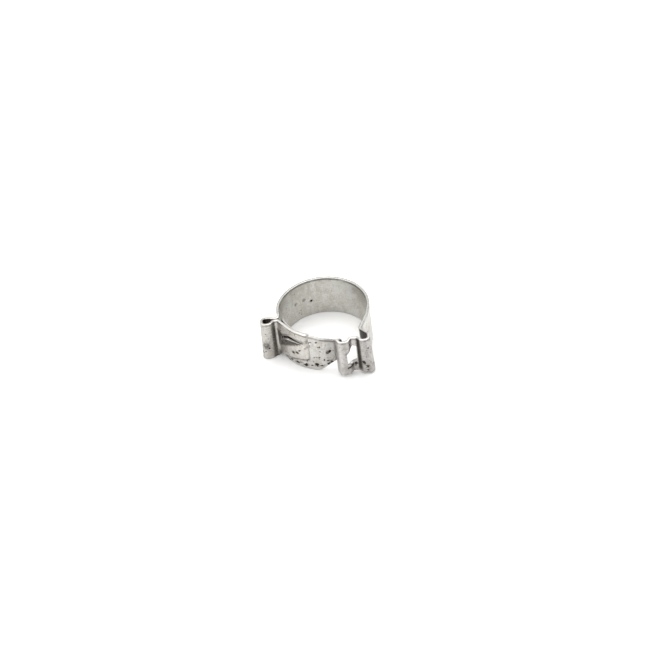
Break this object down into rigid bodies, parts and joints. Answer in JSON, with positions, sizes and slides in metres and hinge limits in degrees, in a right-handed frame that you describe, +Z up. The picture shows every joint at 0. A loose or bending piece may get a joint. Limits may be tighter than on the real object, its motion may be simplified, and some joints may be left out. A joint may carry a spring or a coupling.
{
  "type": "hose clamp",
  "caption": "Snap-lock strip hose clamp: open spring ring with pinched grip ear, lanced locking tab, inner bridging tongue and hooked, windowed jaw.",
  "frame": {"origin": "centre of the clamp's box in plan, on the lower band edge it stands on", "axes": "+Z up along the ring's axis (the strip's width), +X to the jaw side, -Y to the front where the ring is open"},
  "size_m": [0.0296, 0.0286, 0.012],
  "materials": {
    "band_steel": "worn stainless, faint rolling grain",
    "jaw_steel": "worn stainless, polished crests",
    "foot_steel": "worn stainless, speckled",
    "tab_steel": "dull dark scale",
    "weld_steel": "heat-darkened spot weld",
    "tongue_steel": "worn stainless with rust pits"
  },
  "bodies": {
    "back": {"band_back": "band_steel"},
    "right_rear": {"band_right": "band_steel"},
    "right_front": {"band_right_front": "band_steel"},
    "flare": {"band_flare": "band_steel"},
    "jaw": {"grip_lug": "jaw_steel", "release_web": "jaw_steel", "latch_hook": "jaw_steel"},
    "left_rear": {"band_left": "band_steel"},
    "left_front": {"band_left_front": "band_steel"},
    "ear_end": {"grip_ear": "band_steel", "latch_foot": "foot_steel", "locking_tab": "tab_steel", "weld_left": "weld_steel", "weld_right": "weld_steel", "tongue_root": "tongue_steel"},
    "tongue_mid": {"tongue_middle": "tongue_steel"},
    "tongue_end": {"tongue_tip": "tongue_steel"}
  },
  "joints": [
    {"name": "band_squeeze", "type": "hinge", "parent": "back", "child": "left_rear", "pos_m": [-0.00088, 0.01354, 0.006], "axis": [0, 0, 1], "range_deg": [0, 10.6], "stiffness_Nm_per_rad": 0.05},
    {"name": "bend_left_middle", "type": "hinge", "parent": "left_rear", "child": "left_front", "pos_m": [-0.00768, 0.00877, 0.006], "axis": [0, 0, 1], "range_deg": [0, 14.4]},
    {"name": "bend_left_neck", "type": "hinge", "parent": "left_front", "child": "ear_end", "pos_m": [-0.00987, 0.00138, 0.006], "axis": [0, 0, 1], "range_deg": [0, 17]},
    {"name": "bend_right_rear", "type": "hinge", "parent": "back", "child": "right_rear", "pos_m": [0.00834, 0.01232, 0.006], "axis": [0, 0, -1], "range_deg": [0, 9.6]},
    {"name": "bend_right_middle", "type": "hinge", "parent": "right_rear", "child": "right_front", "pos_m": [0.014, 0.00494, 0.006], "axis": [0, 0, -1], "range_deg": [0, 11.7]},
    {"name": "bend_right_front", "type": "hinge", "parent": "right_front", "child": "flare", "pos_m": [0.014, -0.00134, 0.006], "axis": [0, 0, -1], "range_deg": [0, 14.9]},
    {"name": "bend_tongue_root", "type": "hinge", "parent": "ear_end", "child": "tongue_mid", "pos_m": [-0.00191, -0.00854, 0.006], "axis": [0, 0, 1], "range_deg": [0, 10.1]},
    {"name": "bend_tongue_tip", "type": "hinge", "parent": "tongue_mid", "child": "tongue_end", "pos_m": [0.00227, -0.00935, 0.006], "axis": [0, 0, 1], "range_deg": [0, 13.8]},
    {"name": "hook_snap", "type": "hinge", "parent": "flare", "child": "jaw", "pos_m": [0.01125, -0.00892, 0.006], "axis": [0, 0, -1], "range_deg": [0, 8], "stiffness_Nm_per_rad": 0.02}
  ],
  "couplings": [
    {"joint": "bend_left_middle", "follows": "band_squeeze", "ratio": 1.35},
    {"joint": "bend_left_neck", "follows": "band_squeeze", "ratio": 1.6},
    {"joint": "bend_right_rear", "follows": "band_squeeze", "ratio": 0.9},
    {"joint": "bend_right_middle", "follows": "band_squeeze", "ratio": 1.1},
    {"joint": "bend_right_front", "follows": "band_squeeze", "ratio": 1.4},
    {"joint": "bend_tongue_root", "follows": "band_squeeze", "ratio": 0.95},
    {"joint": "bend_tongue_tip", "follows": "band_squeeze", "ratio": 1.3}
  ]
}
